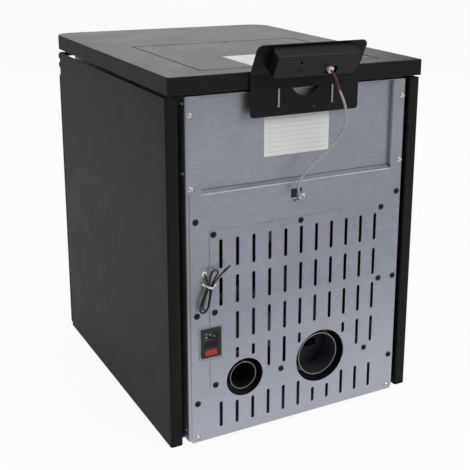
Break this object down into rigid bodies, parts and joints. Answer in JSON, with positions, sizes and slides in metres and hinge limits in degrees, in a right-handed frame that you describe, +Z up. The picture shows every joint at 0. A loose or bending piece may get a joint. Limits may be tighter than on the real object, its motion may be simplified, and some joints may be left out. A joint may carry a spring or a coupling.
{
  "type": "pellet stove",
  "caption": "Free-standing pellet stove cabinet with hopper lid, slotted galvanised rear, leaning rear display, firebox, auger, blowers, door and ash drawer.",
  "frame": {"origin": "centre of the cabinet's bounding box on the floor, without the loose cords", "axes": "+Z up, -Y towards the door, +Y towards the rear panel and the display, +X to the right as seen from the front"},
  "size_m": [0.486, 0.6698, 0.6858],
  "materials": {
    "powder_coat": "satin textured powder coat",
    "galvanised": "dull spangled zinc",
    "hopper_steel": "plain sheet steel",
    "zinc_hardware": "bright zinc plate",
    "black_hardware": "black oxide",
    "black_plastic": "moulded, fine grain",
    "red_plastic": "translucent gloss",
    "white_plastic": "moulded nylon",
    "key_plastic": "moulded, satin",
    "screen_window": "clear window over a dark panel",
    "inlet_brass": "plated",
    "grey_cable": "PVC sheath",
    "black_cable": "silicone sheath",
    "stainless": "brushed",
    "motor_metal": "stamped laminations and paint",
    "cast_aluminium": "as cast",
    "fire_steel": "heat-resistant paint",
    "fire_iron": "sand cast",
    "vermiculite": "pressed board",
    "glass_rope": "knitted glass fibre",
    "fire_glass": "ceramic glass",
    "igniter_ceramic": "fired",
    "circuit_board": "coated board",
    "foot_rubber": "moulded pad on a zinc stem"
  },
  "bodies": {
    "cabinet": {"base_tray": "galvanised", "levelling_feet": "foot_rubber", "chassis_side_left": "galvanised", "chassis_side_right": "galvanised", "side_panel_left": "powder_coat", "side_panel_right": "powder_coat", "top_frame": "galvanised", "top_plate": "powder_coat", "hopper": "hopper_steel", "hopper_guard": "zinc_hardware", "rear_panel": "galvanised", "service_cover": "galvanised", "upper_rear_wall": "galvanised", "cover_screws": "black_hardware", "chassis_screws": "zinc_hardware", "power_inlet": "black_plastic", "inlet_pins": "inlet_brass", "display_bracket": "powder_coat", "display_housing": "black_plastic", "display_screen": "screen_window", "cable_plugs": "white_plastic", "display_cable": "grey_cable", "probe_cord": "black_cable", "probe_tip": "stainless", "probe_grommet": "white_plastic", "cable_tie": "white_plastic", "auger_tube": "hopper_steel", "auger_gearmotor": "motor_metal", "exhaust_housing": "cast_aluminium", "exhaust_motor": "motor_metal", "flue_spigot": "cast_aluminium", "intake_duct": "galvanised", "fan_housing": "galvanised", "fan_motor": "motor_metal", "firebox": "fire_steel", "firebox_liner": "vermiculite", "heat_tubes": "stainless", "igniter": "igniter_ceramic", "front_frame": "powder_coat", "front_louvre": "powder_coat", "door_hinges": "zinc_hardware", "control_board": "circuit_board", "safety_switches": "black_plastic"},
    "lid": {"hopper_lid": "powder_coat"},
    "door": {"door_skin": "powder_coat", "door_frame": "fire_iron", "door_rope": "glass_rope", "door_glass": "fire_glass"},
    "latch_handle": {"door_handle": "stainless"},
    "ash_drawer_body": {"ash_drawer": "powder_coat"},
    "burn_pot_body": {"burn_pot": "fire_iron"},
    "auger": {"auger_screw": "stainless"},
    "exhaust_wheel": {"exhaust_impeller": "stainless"},
    "room_fan": {"fan_wheel": "cast_aluminium"},
    "rocker": {"rocker_switch": "red_plastic"},
    "fuse_carrier": {"fuse_drawer": "black_plastic"},
    "key_1": {"display_key_1": "key_plastic"},
    "key_2": {"display_key_2": "key_plastic"},
    "key_3": {"display_key_3": "key_plastic"},
    "key_4": {"display_key_4": "key_plastic"}
  },
  "joints": [
    {"name": "lid_hinge", "type": "hinge", "parent": "cabinet", "child": "lid", "pos_m": [0, 0.23395, 0.6355], "axis": [-1, 0, 0], "range_deg": [0, 80]},
    {"name": "door_hinge", "type": "hinge", "parent": "cabinet", "child": "door", "pos_m": [-0.225, -0.30505, 0.328], "axis": [0, 0, -1], "range_deg": [0, 100]},
    {"name": "handle_turn", "type": "hinge", "parent": "door", "child": "latch_handle", "pos_m": [0.207, -0.31805, 0.338], "axis": [0, 1, 0], "range_deg": [0, 60]},
    {"name": "ash_drawer_slide", "type": "slide", "parent": "cabinet", "child": "ash_drawer_body", "axis": [0, -1, 0], "range_m": [0, 0.16]},
    {"name": "burn_pot_lift", "type": "slide", "parent": "cabinet", "child": "burn_pot_body", "axis": [0, 0, 1], "range_m": [0, 0.06]},
    {"name": "auger_spin", "type": "hinge", "parent": "cabinet", "child": "auger", "pos_m": [0, 0.12895, 0.293], "axis": [0, -0.766, 0.6428], "continuous": true},
    {"name": "exhaust_fan_spin", "type": "hinge", "parent": "cabinet", "child": "exhaust_wheel", "pos_m": [0.095, 0.19395, 0.198], "axis": [0, 1, 0], "continuous": true},
    {"name": "room_fan_spin", "type": "hinge", "parent": "cabinet", "child": "room_fan", "pos_m": [-0.13, 0.04395, 0.12], "axis": [1, 0, 0], "continuous": true},
    {"name": "rocker_tip", "type": "hinge", "parent": "cabinet", "child": "rocker", "pos_m": [0.17075, 0.27945, 0.1708], "axis": [-1, 0, 0], "range_deg": [0, 14]},
    {"name": "fuse_slide", "type": "slide", "parent": "cabinet", "child": "fuse_carrier", "axis": [0, 1, 0], "range_m": [0, 0.012]},
    {"name": "key_1_press", "type": "slide", "parent": "cabinet", "child": "key_1", "axis": [0, 0.8788, -0.4772], "range_m": [0, 0.0008], "stiffness_N_per_m": 400},
    {"name": "key_2_press", "type": "slide", "parent": "cabinet", "child": "key_2", "axis": [0, 0.8788, -0.4772], "range_m": [0, 0.0008], "stiffness_N_per_m": 400},
    {"name": "key_3_press", "type": "slide", "parent": "cabinet", "child": "key_3", "axis": [0, 0.8788, -0.4772], "range_m": [0, 0.0008], "stiffness_N_per_m": 400},
    {"name": "key_4_press", "type": "slide", "parent": "cabinet", "child": "key_4", "axis": [0, 0.8788, -0.4772], "range_m": [0, 0.0008], "stiffness_N_per_m": 400}
  ]
}
